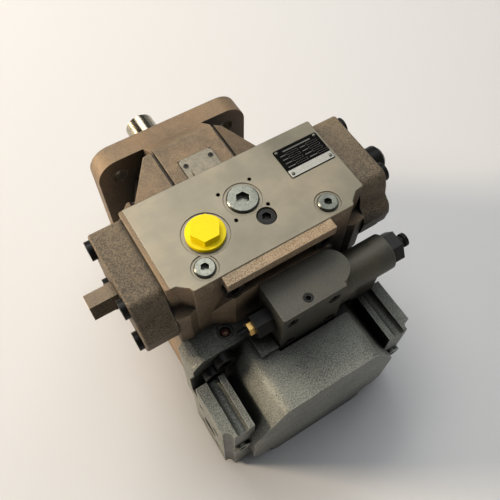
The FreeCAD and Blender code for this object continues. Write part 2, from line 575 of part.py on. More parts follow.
def drive_shaft():
    nose = rod("shaft_rad", "shaft_shoulder", "shaft_end-1.5")
    chamfer = cone("shaft_rad", "shaft_rad-1.5", "shaft_end-1.5", "shaft_end")
    journal = rod("journal_rad", "journal_rear", "shaft_shoulder")
    core = rod("core_rad", "body_rear+1", "journal_rear")
    tail = rod("tail_rad", "tail_end", "body_rear+1")
    keyway = box(("-keyway_wide/2", "keyway_wide/2"), ("shaft_end-6-keyway_long", "shaft_end-6"),
                 ("shaft_rad-keyway_deep", "shaft_rad+1"))
    keyway = rounded(keyway, amount_of("keyway_wide") / 2 - 0.05, along("Z"))
    centre_hole = cone(0.5, 3, "shaft_end-5", "shaft_end+0.01")
    return node("drive_shaft", cut(fuse(nose, chamfer, journal, core, tail, *spline_teeth(0)),
                                   turned(keyway, KEYWAY_ANGLE), centre_hole))


def bearings():
    front = ("bearing_rear", "bearing_front")
    rear = ("needle_rear", "needle_front")
    node("bearing_outer_races", group(ring("bearing_rad", "bearing_rad-race_thick", *front),
                                      ring("sleeve_out_rad", "sleeve_in_rad", *rear)))
    node("front_bearing_inner", ring("race_in_rad", "journal_rad+0.01", *front))
    rolling = []
    cages = []
    for count, radius, at_rad, span in (
            (FRONT_ROLLERS, "roller_rad", "roller_ring_rad", ("bearing_rear+2", "bearing_front-2")),
            (REAR_NEEDLES, "needle_rad", "needle_ring_rad", ("needle_rear+2", "needle_front-2"))):
        pockets = []
        for index in range(count):
            angle = 2 * math.pi * index / count
            place = (f"{at_rad}*{math.sin(angle):.9f}", f"{at_rad}*{math.cos(angle):.9f}")
            rolling.append(rod(f"{radius}-{GAP}", *span, "Y", place))
            pockets.append(rod(f"{radius}+0.1", f"{span[0]}-0.1", f"{span[1]}+0.1", "Y", place))
        band = ring(f"{at_rad}+{radius}*0.35", f"{at_rad}-{radius}*0.35", f"{span[0]}-1.5", f"{span[1]}+1.5")
        cages.append(cut(band, *pockets))
    node("bearing_rollers", group(*rolling, *cages))


def shaft_seal():
    return node("shaft_seal", ring(f"seal_rad-{GAP}", f"journal_rad+{GAP}", "seal_rear", "seal_front"))


def ring_place(index, radius):
    """The place of one of the nine piston positions on a ring about the shaft."""
    angle = 2 * math.pi * index / PISTONS
    return (f"{radius}*{math.sin(angle):.9f}", f"{radius}*{math.cos(angle):.9f}")


def pistons_and_slippers():
    """Nine pistons, each with its ball in the socket of a slipper that rides on the swash plate."""
    for index in range(PISTONS):
        x, z = ring_place(index, "ring_rad")
        centre = (x, "tilt_y", z)
        body = rod("piston_rad", "piston_rear", "piston_front", "Y", (x, z))
        hollow = rod("piston_rad-2.5", "piston_rear", "piston_front-14", "Y", (x, z))
        neck = cone("piston_rad", "neck_rad", "piston_front", "piston_front+4", "Y", (x, z))
        stem = rod("neck_rad", "piston_front+4", "tilt_y-3", "Y", (x, z))
        node(f"piston_{index + 1}", cut(fuse(body, neck, stem, ball("ball_rad", centre)), hollow))
        foot = rod("slipper_foot_rad", "slipper_foot_rear", f"swash_face-{GAP}", "Y", (x, z))
        cup = rod("slipper_body_rad", "slipper_end", "slipper_foot_rear+0.5", "Y", (x, z))
        socket = ball("socket_rad", centre)
        mouth = cone("socket_rad+0.9", "socket_rad-0.9", "slipper_end-0.01", "slipper_end+2", "Y", (x, z))
        pocket = rod("slipper_foot_rad-3.5", f"swash_face-{GAP}-0.5", f"swash_face-{GAP}", "Y", (x, z))
        node(f"slipper_{index + 1}", cut(fuse(foot, cup), socket, mouth, pocket))


def retaining_plate():
    """The plate that holds the slippers down, with its spherical seat on the ball guide."""
    plate = rod("plate_rad", "plate_rear", "plate_front")
    hub = rod("plate_hub_rad", "plate_hub_end", "plate_front")
    holes = [rod("slipper_body_rad+0.4", "plate_hub_end-1", "plate_front+1", "Y",
                 ring_place(index, "ring_rad")) for index in range(PISTONS)]
    seat = ball("guide_rad+0.1", (0, "tilt_y", 0))
    clearance = rod("guide_rad-1", "plate_rear", "plate_front")
    return node("retaining_plate", cut(fuse(plate, hub), seat, clearance, *holes))


def ball_guide():
    dome = common(ball("guide_rad", (0, "tilt_y", 0)), rod("guide_rad+1", "guide_rear", "guide_front"))
    return node("ball_guide", cut(dome, rod("spline_rad+0.1", "guide_rear-1", "guide_front+1")))


def cylinder_block():
    """The rotating barrel with nine bores, their kidney ports, the spring recess and the spline."""
    barrel = rod("barrel_rad", "barrel_rear", "barrel_front")
    bores = []
    for index in range(PISTONS):
        place = ring_place(index, "bore_ring_rad")
        bores.append(rod("piston_bore_rad", "bore_rear", "barrel_front", "Y", place))
        bores.append(rod("kidney_wide/2", "barrel_rear", "bore_rear", "Y", place))
    recess = rod("spline_rad+5", "barrel_front-14", "barrel_front")
    centre = rod(f"core_rad+{GAP}", "barrel_rear", "barrel_front")
    relief = rod("spline_rad+1", "barrel_rear", "spline_rear+1")
    return node("cylinder_block", cut(barrel, *bores, recess, centre, relief, *spline_teeth(GAP)))


def coil_spring(name, wire_rad, coil_rad, turns, start, length, axis="Y", through=(0, 0)):
    """A coil spring along an axis, from the middle of its first turn to the middle of its last."""
    low = amount_of(start)
    middle = amount_of(coil_rad)
    high = amount_of(length)
    helix = Part.makeHelix(high / turns, high, middle)
    section = Part.Wire(Part.makeCircle(wire_rad, FreeCAD.Vector(middle, 0, 0), FreeCAD.Vector(0, 1, 0)))
    thing = doc.addObject("Part::Feature", name)
    thing.Shape = Part.Wire(helix).makePipeShell([section], True, True)
    place = FreeCAD.Vector(*[amount_of(text) for text in on_axis(axis, low, through)])
    thing.Placement = FreeCAD.Placement(place, TURN_TO[axis])
    return node(name, thing)


def block_spring():
    """The coil spring between the barrel and the ball guide."""
    return coil_spring("block_spring", 1.1, "spline_rad+2.8", 5, "barrel_front-11.8",
                       "guide_rear-barrel_front+9")


def valve_plate():
    """The fixed distributor disc with its suction and pressure kidneys."""
    disc = rod("barrel_rad", "body_rear", "distributor_front")
    centre = rod("sleeve_out_rad", "body_rear", "distributor_front")
    kidneys = []
    for sign, spread in (("", 66), ("-", 60)):
        band = ring("bore_ring_rad+kidney_wide/2", "bore_ring_rad-kidney_wide/2", "body_rear",
                    "distributor_front")
        reach = amount_of("bore_ring_rad") * math.sin(math.radians(spread))
        low, high = sorted((f"{sign}12", f"{sign}60"), key=amount_of)
        kidneys.append(common(band, box((low, high), ("body_rear-1", "distributor_front+1"),
                                        (-reach, reach))))
    return node("valve_plate", cut(disc, centre, *kidneys))


def stroking_piston():
    """The double-ended stroking piston and the block that its slot carries round the swash pin."""
    axis = ("stroke_axis_y", "stroke_axis_z")
    body = rod("stroke_bore_rad-0.1", -60, 50, "X", axis)
    slot = box((-11.2, 11.2), ("stroke_axis_y-12", "stroke_axis_y+14"), (60, 105.5))
    grooves = [ring("stroke_bore_rad+1", "stroke_bore_rad-1.6", start, f"{start}+2.5", "X", axis)
               for start in (-54, -49, 36, 41)]
    node("stroke_piston", cut(body, slot, *grooves))
    block = box((-11, 11), ("stroke_axis_y-9", "stroke_axis_y+9"), (84, 104))
    hole = rod("pin_rad+0.06", 80, 110, "Z", (0, "stroke_axis_y"))
    node("slide_block", cut(block, hole))


def stroke_stop():
    """The hex-headed screw that limits the stroke, its thrust pad and its lock nut."""
    axis = ("stroke_axis_y", "stroke_axis_z")
    node("stroke_stop_pad", rod(9, -69.9, -60.2, "X", axis))
    shank = rod(7.9, -119.5, -70, "X", axis)
    node("stroke_stop_screw", fuse(shank, hexagon(20, -136.5, -119.5, "X", axis)))
    stop_nut = cut(hexagon(21, -119.4, "-cover_out", "X", axis), rod(8, -121, -110, "X", axis))
    valve_axis = ("valve_y", "valve_z")
    cap_nut = cut(hexagon(24, "spring_tube_end", "spring_tube_end+12", "X", valve_axis),
                  rod(4.1, 90, 110, "X", valve_axis))
    node("adjuster_lock_nuts", group(stop_nut, cap_nut))


def valve_body():
    """The pressure controller's block, with the round lug of its spring side and the lower boss."""
    block = rounded(box(("valve_left", "valve_right"), ("valve_rear", "valve_front"),
                        ("valve_low", "valve_high")), 1.5, along("Z"))
    lug = rod("valve_end_rad", "valve_low", "valve_high", "Z", ("valve_end_x", "valve_end_y-1.5"))
    lug = common(lug, box((0, 60), (-232, "valve_front"), ("valve_low", "valve_high")))
    boss = rod("lower_boss_rad", 20, "lower_boss_end", "X", ("valve_y", "lower_boss_z"))
    foot = rounded(box(("foot_left", "foot_right"), ("foot_rear", "foot_front"), ("foot_low", "foot_high")),
                   4, along("X"))
    face = rod("spring_tube_rad+1", 20, 49, "X", ("valve_y", "valve_z"))
    bore = rod(f"spool_rad+{GAP}", "valve_left", 49, "X", ("valve_y", "valve_z"))
    thread = rod("spring_bore_rad-1.95", 41, 49, "X", ("valve_y", "valve_z"))
    holes = []
    for place in VALVE_SCREWS:
        holes.append(rod(3.05, "valve_rear", "valve_front", "Y", place))
        holes.append(rod(5.3, "valve_rear", "valve_rear+6.5", "Y", place))
    top_hole = rod(4.05, "valve_high-9", "valve_high", "Z", (5, -229))
    return node("valve_body", cut(fuse(block, lug, boss, foot, face), bore, thread, top_hole, *holes))


def valve_parts():
    axis = ("valve_y", "valve_z")
    screws = [socket_screw(3, 5, 5.8, "valve_rear+6.4", "block_rear+12", "Y", place, 5)
              for place in VALVE_SCREWS]
    node("valve_screws", group(*screws))
    tube = fuse(rod("spring_tube_rad", 49, "spring_tube_end", "X", axis),
                rod("spring_bore_rad-2", 41.1, 49, "X", axis))
    node("valve_spring_housing", cut(tube, rod("spring_bore_rad", 52, 85, "X", axis),
                                     rod(7.5, 41, 52, "X", axis), rod(4.05, 80, 95, "X", axis)))
    lands = [rod("spool_rad", -15, -4, "X", axis), rod(3.5, -5, 6, "X", axis),
             rod("spool_rad", 6, 18, "X", axis), rod(3.5, 17, 27, "X", axis),
             rod("spool_rad", 27, 45, "X", axis), rod(4, 44, 53.5, "X", axis)]
    node("valve_spool", fuse(*lands))
    coil_spring("valve_spring", 1.5, 8.4, 3, 55.2, 16.4, "X", axis)
    node("valve_spring_seat", rod(10.7, 73.2, 77, "X", axis))
    screw = fuse(rod(4, 77.1, 107, "X", axis), rod(5.5, 106, 108, "X", axis),
                 rod(4.4, 107, 110.5, "X", axis), rod(6, 110.5, 113.5, "X", axis))
    node("adjusting_screw", cut(screw, hexagon(3, 110, 113.5, "X", axis)))
    end_plug = fuse(hexagon(19, -36.5, "valve_left", "X", axis), rod("spool_rad", -22, -17.2, "X", axis))
    node("valve_end_plug", cut(end_plug, rod(3.05, -37, -28, "X", axis)))
    node("brass_lock_nut", cut(hexagon(10, -41, -36.5, "X", axis), rod(3.05, -42, -36, "X", axis)))
    node("valve_stop_stud", rod(3, -49, -28.2, "X", axis))


pump_housing()
port_plate()
end_cover("left_end_cover", "-", 8.1)
end_cover("right_end_cover", "", 10)
cover_seal_plates()
cap_screws()
port_plate_screws()
top_plugs()
yellow_port_plug()
plates()
swash_plate()
cradle_bearings()
drive_shaft()
bearings()
shaft_seal()
pistons_and_slippers()
retaining_plate()
ball_guide()
cylinder_block()
block_spring()
valve_plate()
stroking_piston()
stroke_stop()
valve_body()
valve_parts()

doc.recompute()
for thing in doc.Objects:
    if {"Invalid", "Error"} & set(thing.State):
        raise RuntimeError(f"{thing.Label} failed: {thing.State}")
os.makedirs("parts", exist_ok=True)
for name, thing in nodes.items():
    shape = thing.Shape
    if shape.isNull() or not shape.isValid() or not shape.Solids:
        raise RuntimeError(f"{name} has no valid solid")
    shape.exportStep(f"parts/{name}.step")
    print(f"{name:24s} {len(shape.Solids):3d} solids {shape.Volume / 1000:10.2f} cm3")
print(len(nodes), "sub-parts")
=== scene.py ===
import json
import math

import bmesh
import bpy
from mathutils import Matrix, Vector


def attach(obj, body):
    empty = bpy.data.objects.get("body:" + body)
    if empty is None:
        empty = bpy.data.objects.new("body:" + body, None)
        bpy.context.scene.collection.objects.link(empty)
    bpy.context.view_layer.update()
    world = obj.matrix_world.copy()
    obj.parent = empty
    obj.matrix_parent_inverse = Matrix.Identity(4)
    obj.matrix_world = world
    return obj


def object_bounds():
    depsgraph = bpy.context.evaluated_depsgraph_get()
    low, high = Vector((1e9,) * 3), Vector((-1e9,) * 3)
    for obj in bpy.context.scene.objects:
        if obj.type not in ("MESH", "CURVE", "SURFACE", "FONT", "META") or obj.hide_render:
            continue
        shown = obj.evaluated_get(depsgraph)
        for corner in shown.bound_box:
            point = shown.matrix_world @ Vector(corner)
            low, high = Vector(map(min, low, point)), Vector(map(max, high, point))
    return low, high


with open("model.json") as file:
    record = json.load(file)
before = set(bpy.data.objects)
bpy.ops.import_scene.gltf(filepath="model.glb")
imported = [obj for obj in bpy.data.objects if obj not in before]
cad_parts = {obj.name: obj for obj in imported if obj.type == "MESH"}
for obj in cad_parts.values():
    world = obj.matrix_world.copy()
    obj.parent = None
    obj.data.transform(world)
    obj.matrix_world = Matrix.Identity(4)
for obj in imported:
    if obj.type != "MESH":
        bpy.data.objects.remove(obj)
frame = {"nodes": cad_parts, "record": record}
cad_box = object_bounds()
nodes = frame["nodes"]
MM = 0.001

# Places shared with the CAD model, in millimetres.
BLOCK_TOP = 131.6
BLOCK_REAR = -192
RAW_STRIP = -82.6   # the strip of the block's top left of this x is as cast
BOLT_OFFSET, BOLT_RADIUS, BOLT_HOLE_REAR = 56.57, 7, -21
PORT_PLATE_TOP = 55
NECK_TOP = 97


# ---------------------------------------------------------------- materials

class Shader:
    """A material under construction: each method adds nodes and gives back an output socket."""

    def __init__(self, name):
        self.material = bpy.data.materials.new(name)
        self.material.use_nodes = True
        self.tree = self.material.node_tree
        self.tree.nodes.clear()
        self.surface = self.add("ShaderNodeBsdfPrincipled")
        output = self.add("ShaderNodeOutputMaterial")
        self.tree.links.new(self.surface.outputs[0], output.inputs["Surface"])
        self.place = self.add("ShaderNodeTexCoord").outputs["Object"]

    def add(self, kind, **settings):
        made = self.tree.nodes.new(kind)
        for key, value in settings.items():
            setattr(made, key, value)
        return made

    def feed(self, socket, value):
        if isinstance(value, bpy.types.NodeSocket):
            self.tree.links.new(value, socket)
        elif value is not None:
            if hasattr(socket.default_value, "__len__") and len(socket.default_value) == 4:
                socket.default_value = (*value[:3], 1)
            else:
                socket.default_value = value

    def math(self, operation, a, b=None, clamp=False):
        made = self.add("ShaderNodeMath", operation=operation, use_clamp=clamp)
        for socket, value in zip(made.inputs, (a, b)):
            self.feed(socket, value)
        return made.outputs[0]

    def stretch(self, scale):
        """Places multiplied by scale: what is drawn from them is narrower along the larger factors."""
        made = self.add("ShaderNodeMapping")
        self.feed(made.inputs["Vector"], self.place)
        made.inputs["Scale"].default_value = scale
        return made.outputs[0]

    def noise(self, scale, detail, rough, vector=None):
        """Noise with features about 1/scale metres wide."""
        made = self.add("ShaderNodeTexNoise")
        self.feed(made.inputs["Vector"], vector or self.place)
        made.inputs["Scale"].default_value = scale
        made.inputs["Detail"].default_value = detail
        made.inputs["Roughness"].default_value = rough
        return made.outputs["Fac"]

    def cells(self, scale):
        """The distance to the middle of the nearest of many small cells, 1/scale metres wide."""
        made = self.add("ShaderNodeTexVoronoi")
        self.feed(made.inputs["Vector"], self.place)
        made.inputs["Scale"].default_value = scale
        return made.outputs["Distance"]

    def ramp(self, fac, *stops):
        """A colour or grey ramp through (place, value) stops."""
        made = self.add("ShaderNodeValToRGB")
        elements = made.color_ramp.elements
        while len(elements) < len(stops):
            elements.new(0.5)
        for element, (place, value) in zip(elements, stops):
            element.position = place
            element.color = (value, value, value, 1) if isinstance(value, (int, float)) else (*value, 1)
        self.feed(made.inputs["Fac"], fac)
        return made.outputs["Color"]

    def mix(self, fac, a, b, blend="MIX"):
        """The colour a, going to b where fac is 1."""
        made = self.add("ShaderNodeMix", data_type="RGBA", blend_type=blend)
        self.feed(made.inputs[0], fac)
        self.feed(made.inputs[6], a)
        self.feed(made.inputs[7], b)
        return made.outputs[2]

    def blend(self, fac, a, b):
        """The number a, going to b where fac is 1."""
        made = self.add("ShaderNodeMix", data_type="FLOAT")
        self.feed(made.inputs[0], fac)
        self.feed(made.inputs[2], a)
        self.feed(made.inputs[3], b)
        return made.outputs[0]

    def axis(self, letter, of=None):
        """One coordinate of a vector, of the place on the pump if no other is given."""
        made = self.add("ShaderNodeSeparateXYZ")
        self.feed(made.inputs[0], of or self.place)
        return made.outputs["XYZ".index(letter)]

    def normal(self):
        return self.add("ShaderNodeNewGeometry").outputs["Normal"]

    def above(self, value, level, soft=0.00005):
        """1 where value is over level, 0 below it, with a short ramp between."""
        made = self.add("ShaderNodeMapRange")
        self.feed(made.inputs["Value"], value)
        made.inputs["From Min"].default_value = level - soft
        made.inputs["From Max"].default_value = level + soft
        return made.outputs[0]

    def edges(self, radius_mm, low=0.01, high=0.12):
        """1 along the edges of the shape, 0 on its faces."""
        soft = self.add("ShaderNodeBevel", samples=6)
        soft.inputs["Radius"].default_value = radius_mm * MM
        dot = self.add("ShaderNodeVectorMath", operation="DOT_PRODUCT")
        self.feed(dot.inputs[0], soft.outputs[0])
        self.feed(dot.inputs[1], self.normal())
        turned = self.math("SUBTRACT", 1.0, dot.outputs["Value"], clamp=True)
        return self.above(turned, (low + high) / 2, (high - low) / 2)

    def crevices(self, reach_mm):
        """0 in the open, towards 1 in narrow places."""
        hidden = self.add("ShaderNodeAmbientOcclusion", samples=6)
        hidden.inputs["Distance"].default_value = reach_mm * MM
        return self.math("SUBTRACT", 1.0, hidden.outputs["AO"], clamp=True)

    def finish(self, color, rough, metallic, height=None, bump_mm=0.1, round_mm=0.0, shine=0.5):
        """The finished material: bump_mm is the depth of its grain, round_mm the radius that edges seem
        to have, and shine the strength of the reflection on what isn't metal."""
        self.feed(self.surface.inputs["Base Color"], color)
        self.feed(self.surface.inputs["Roughness"], rough)
        self.feed(self.surface.inputs["Metallic"], metallic)
        base = None
        if round_mm:
            soft = self.add("ShaderNodeBevel", samples=6)
            soft.inputs["Radius"].default_value = round_mm * MM
            base = soft.outputs[0]
        if height is not None:
            bump = self.add("ShaderNodeBump")
            bump.inputs["Distance"].default_value = bump_mm * MM
            self.feed(bump.inputs["Height"], height)
            if base is not None:
                self.feed(bump.inputs["Normal"], base)
            base = bump.outputs[0]
        if base is not None:
            self.feed(self.surface.inputs["Normal"], base)
        self.surface.inputs["Specular IOR Level"].default_value = shine
        return self.material


CAST_METALLIC, GROUND_METALLIC = 0.25, 0.8
LINES_ALONG_X = (1, 22, 1)
LATHE_LINES = (1, 5, 1)


def cast_iron(name, light, dark, wear, machined=(), rough=0.6, grain_mm=0.16, speckle=0.45, tan=None,
              rubbed=None):
    """Sand-cast iron: mottled colour, coarse grain, rubbed edges, and painted shade darkening its corners and
    deep recesses.
    machined holds functions of the shader that give masks of the cut faces, and rubbed is one for a
    raw face that is worn bright. tan is the colour of broad stains."""
    s = Shader(name)
    # The near-black colour of the painted shade in corners and recesses.
    painted_shade_color = tuple(0.2 * part for part in dark)
    broad = s.noise(16, 4, 0.6)
    middle = s.noise(150, 4, 0.62)
    fine = s.noise(900, 3, 0.65)
    pits = s.cells(1000)
    mottled = s.math("ADD", s.math("MULTIPLY", broad, 0.3), s.math("MULTIPLY", middle, 0.7 - speckle))
    mottled = s.math("ADD", mottled, s.math("MULTIPLY", fine, speckle))
    color = s.ramp(mottled, (0.40, dark), (0.57, light))
    if tan:
        stain = s.ramp(s.noise(11, 3, 0.6), (0.42, 0.0), (0.66, 0.8))
        color = s.mix(stain, color, tan)
    edge = s.edges(1.6)
    patchy = s.ramp(s.noise(70, 3, 0.6), (0.35, 0.0), (0.62, 1.0))
    color = s.mix(s.math("MULTIPLY", s.math("MULTIPLY", edge, patchy), 0.6), color, wear)
    # Painted shade: corners and narrow places darkened towards the near-black shade colour.
    painted_corner_shade = s.ramp(s.crevices(14), (0.15, 0.0), (0.75, 0.95))
    color = s.mix(painted_corner_shade, color, painted_shade_color)
    # Painted shade: deep recesses, such as those behind the flange, darkened strongly.
    shade = s.ramp(s.crevices(80), (0.25, 0.0), (0.65, 0.88))
    color = s.mix(shade, color, painted_shade_color)
    if rubbed:
        worn = s.ramp(s.math("ADD", s.math("MULTIPLY", middle, 0.25), s.math("MULTIPLY", fine, 0.75)),
                      (0.42, 0.0), (0.60, 0.6))
        color = s.mix(s.math("MULTIPLY", rubbed(s), worn), color, wear)
    roughness = s.math("ADD", s.math("MULTIPLY", middle, 0.22), rough - 0.11)
    height = s.math("ADD", s.math("MULTIPLY", fine, 0.7), s.math("MULTIPLY", pits, 0.35))
    height = s.math("ADD", height, s.math("MULTIPLY", middle, 0.9))
    metal = CAST_METALLIC
    if machined:
        cut = machined[0](s)
        for other in machined[1:]:
            cut = s.math("MAXIMUM", cut, other(s))
        lines = s.noise(60, 2, 0.5, s.stretch(LINES_ALONG_X))
        haze = s.noise(15, 4, 0.6)
        spots = s.ramp(s.noise(26, 2, 0.5), (0.3, 0.82), (0.6, 1.0))
        ground = s.ramp(s.math("ADD", s.math("MULTIPLY", lines, 0.08), s.math("MULTIPLY", haze, 0.92)),
                        (0.30, (0.115, 0.104, 0.079)), (0.5, (0.17, 0.153, 0.116)),
                        (0.72, (0.27, 0.228, 0.165)))
        ground = s.mix(0.8, ground, spots, "MULTIPLY")
        color = s.mix(cut, color, ground)
        roughness = s.blend(cut, roughness, s.math("ADD", s.math("MULTIPLY", haze, 0.24), 0.34))
        height = s.blend(cut, height, s.math("MULTIPLY", lines, 0.03))
        metal = s.blend(cut, CAST_METALLIC, GROUND_METALLIC)
    return s.finish(color, roughness, metal, height, grain_mm, 0.8)


def top_ground(s):
    """The ground top of the stroking cylinder block, without its raw left strip and rear ledge."""
    high = s.above(s.axis("Z"), (BLOCK_TOP - 1.4) * MM)
    right = s.above(s.axis("X"), RAW_STRIP * MM)
    ahead = s.above(s.axis("Y"), BLOCK_REAR * MM)
    upward = s.above(s.axis("Z", s.normal()), 0.9, 0.02)
    return s.math("MULTIPLY", s.math("MULTIPLY", high, right), s.math("MULTIPLY", upward, ahead))


def rear_ledge(s):
    """The narrow raw ledge behind the ground top, and the top corner of its rear face."""
    return s.math("MULTIPLY", s.above(s.axis("Z"), (BLOCK_TOP - 12) * MM, 3 * MM),
                  s.math("SUBTRACT", 1.0, s.above(s.axis("Y"), BLOCK_REAR * MM)))


def flange_ground(s):
    """The mounting face and the pilot before it, which start at y = 0 and don't look backwards."""
    return s.math("MULTIPLY", s.above(s.axis("Y"), -0.3 * MM), s.above(s.axis("Y", s.normal()), -0.5, 0.02))


def steel(name, color_low, color_high, rough=0.35, metallic=0.9, lines=None, bump_mm=0.02, grain=800,
          edge_highlight_color=None, round_mm=0.3, corner_shade_strength=0.8, shine=0.5, right=None):
    """Machined, plated or blackened steel, with fine lines along an axis or an even grain.
    right is another pair of colours for the half of the pump with x over 0."""
    s = Shader(name)
    streaks = s.noise(90, 3, 0.6, s.stretch(lines)) if lines else s.noise(grain, 2, 0.5)
    cloud = s.noise(55, 4, 0.6)
    tone = s.math("ADD", s.math("MULTIPLY", streaks, 0.5), s.math("MULTIPLY", cloud, 0.5))
    color = s.ramp(tone, (0.34, color_low), (0.66, color_high))
    if right:
        color = s.mix(s.above(s.axis("X"), 0.0), color, s.ramp(tone, (0.34, right[0]), (0.66, right[1])))
    # Painted highlight: all edges lightened towards a bright colour.
    if edge_highlight_color:
        color = s.mix(s.math("MULTIPLY", s.edges(0.6), 0.7), color, edge_highlight_color)
    # Painted shade: narrow crevices darkened towards a quarter of the darker colour.
    painted_corner_shade = s.ramp(s.crevices(3), (0.45, 0.0), (1.0, corner_shade_strength))
    color = s.mix(painted_corner_shade, color, tuple(0.25 * part for part in color_low))
    roughness = s.math("ADD", s.math("MULTIPLY", cloud, 0.2), rough - 0.1)
    return s.finish(color, roughness, metallic, streaks, bump_mm, round_mm, shine)


def in_bolt_hole(s):
    """The drilled walls of the four holes of the mounting flange."""
    places = [s.math("SUBTRACT", s.math("ABSOLUTE", s.axis(letter)), BOLT_OFFSET * MM) for letter in "XZ"]
    away = s.math("SQRT", s.math("ADD", s.math("MULTIPLY", places[0], places[0]),
                                 s.math("MULTIPLY", places[1], places[1])))
    near = s.math("SUBTRACT", 1.0, s.above(away, (BOLT_RADIUS + 0.15) * MM))
    return s.math("MULTIPLY", near, s.above(s.axis("Y"), BOLT_HOLE_REAR * MM))


materials = {
    "cast_iron": cast_iron("cast_iron_body", (0.24, 0.172, 0.105), (0.095, 0.069, 0.043), (0.48, 0.39, 0.27),
                           (top_ground, flange_ground, in_bolt_hole), tan=(0.29, 0.182, 0.096), grain_mm=0.4,
                           rubbed=rear_ledge),
    "cover_iron": cast_iron("cast_iron_cover", (0.19, 0.142, 0.088), (0.05, 0.039, 0.026),
                            (0.45, 0.36, 0.24), grain_mm=0.5, speckle=0.6),
    "port_iron": cast_iron("cast_iron_port_plate", (0.235, 0.24, 0.205), (0.052, 0.054, 0.048),
                           (0.50, 0.49, 0.43), rough=0.45, grain_mm=0.55, speckle=0.62),
    "valve_iron": cast_iron("cast_iron_valve", (0.066, 0.066, 0.052), (0.027, 0.027, 0.022),
                            (0.26, 0.23, 0.17), rough=0.5, grain_mm=0.25, tan=(0.085, 0.072, 0.049)),
    "black_steel": steel("black_oxide_steel", (0.003, 0.003, 0.003), (0.010, 0.010, 0.009), 0.38, 0.0,
                         edge_highlight_color=(0.11, 0.105, 0.095), shine=0.15),
    "adjuster_steel": steel("adjuster_steel", (0.04, 0.028, 0.017), (0.12, 0.085, 0.05), 0.38, 0.6,
                            edge_highlight_color=(0.45, 0.35, 0.23)),
    "nut_steel": steel("nut_steel", (0.04, 0.028, 0.017), (0.12, 0.085, 0.05), 0.38, 0.6,
                       right=((0.004, 0.004, 0.004), (0.012, 0.012, 0.011))),
    "zinc_steel": steel("zinc_plated_steel", (0.058, 0.062, 0.053), (0.15, 0.155, 0.135), 0.32, 0.95,
                        edge_highlight_color=(0.48, 0.48, 0.42)),
    "ground_steel": steel("ground_steel", (0.30, 0.265, 0.20), (0.52, 0.47, 0.37), 0.2, 0.98,
                          lines=LINES_ALONG_X),
    "turned_steel": steel("turned_steel", (0.26, 0.235, 0.18), (0.46, 0.42, 0.33), 0.2, 0.98,
                          lines=LATHE_LINES),
    "indicator_metal": steel("indicator_zinc", (0.075, 0.066, 0.048), (0.17, 0.15, 0.112), 0.4, 0.6,
                             grain=420),
    "label_metal": steel("label_plate", (0.002, 0.002, 0.002), (0.006, 0.006, 0.006), 0.7, 0.0, shine=0.03),
    "bronze": steel("bronze", (0.33, 0.20, 0.09), (0.55, 0.35, 0.17), 0.38, 0.9),
    "brass": steel("brass", (0.50, 0.30, 0.09), (0.80, 0.52, 0.18), 0.32, 0.9, edge_highlight_color=(0.95, 0.72, 0.35)),
    "yellow_plastic": steel("yellow_plastic", (0.80, 0.62, 0.0), (0.88, 0.69, 0.0), 0.5, 0.0,
                            bump_mm=0.015, corner_shade_strength=0.3, shine=0.15),
    "seal_rubber": steel("seal_rubber", (0.006, 0.006, 0.006), (0.014, 0.014, 0.014), 0.6, 0.0, shine=0.2),
    "label_print": steel("label_print", (0.045, 0.045, 0.042), (0.10, 0.10, 0.092), 0.5, 0.0),
    "label_band": steel("label_band", (0.20, 0.195, 0.175), (0.32, 0.31, 0.28), 0.4, 0.8),
    "rust_steel": steel("rusty_ball", (0.08, 0.04, 0.03), (0.17, 0.08, 0.055), 0.4, 0.5),
}

# The CAD model's slots, but for two nodes that don't look like the rest of theirs.
slot_of = {part["node"]: part["material_slot"] for part in frame["record"]["subparts"]}
for name, thing in nodes.items():
    wanted = {"port_plate": "port_iron", "adjuster_lock_nuts": "nut_steel"}.get(name, slot_of[name])
    thing.data.materials.clear()
    thing.data.materials.append(materials[wanted])


# ---------------------------------------------------------------- small pieces that are not in the CAD model

def piece_from(name, mesh, material):
    """An object of the pump's fixed body, from a bmesh in millimetres."""
    bmesh.ops.scale(mesh, vec=(MM, MM, MM), verts=mesh.verts)
    bmesh.ops.recalc_face_normals(mesh, faces=mesh.faces)
    data = bpy.data.meshes.new(name)
    mesh.to_mesh(data)
    mesh.free()
    data.materials.append(materials[material])
    piece = bpy.data.objects.new(name, data)
    bpy.context.scene.collection.objects.link(piece)
    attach(piece, "root")
    return piece


def turned_piece(name, profile, at, material, segments, sides=0, smooth=True):
    """A piece turned about a vertical axis from (radius, height) points, lowest outer point first.
    With a number of sides, the last two of the points lie on a socket's outline, not on a circle."""
    mesh = bmesh.new()
    rings = []
    for place, (radius, height) in enumerate(profile):
        in_socket = sides and place >= len(profile) - 2
        ring = []
        for step in range(segments):
            angle = 2 * math.pi * step / segments
            reach = radius
            if in_socket:
                part = (angle % (2 * math.pi / sides)) - math.pi / sides
                reach = radius * math.cos(math.pi / sides) / math.cos(part)
            ring.append(mesh.verts.new((at[0] + reach * math.cos(angle), at[1] + reach * math.sin(angle),
                                        at[2] + height)))
        rings.append(ring)
    for lower, upper in zip(rings, rings[1:]):
        for step in range(segments):
            after = (step + 1) % segments
            mesh.faces.new((lower[step], lower[after], upper[after], upper[step]))
    mesh.faces.new(list(reversed(rings[0])))
    mesh.faces.new(rings[-1])
    for face in mesh.faces:
        face.smooth = smooth and len(face.verts) == 4
    return piece_from(name, mesh, material)


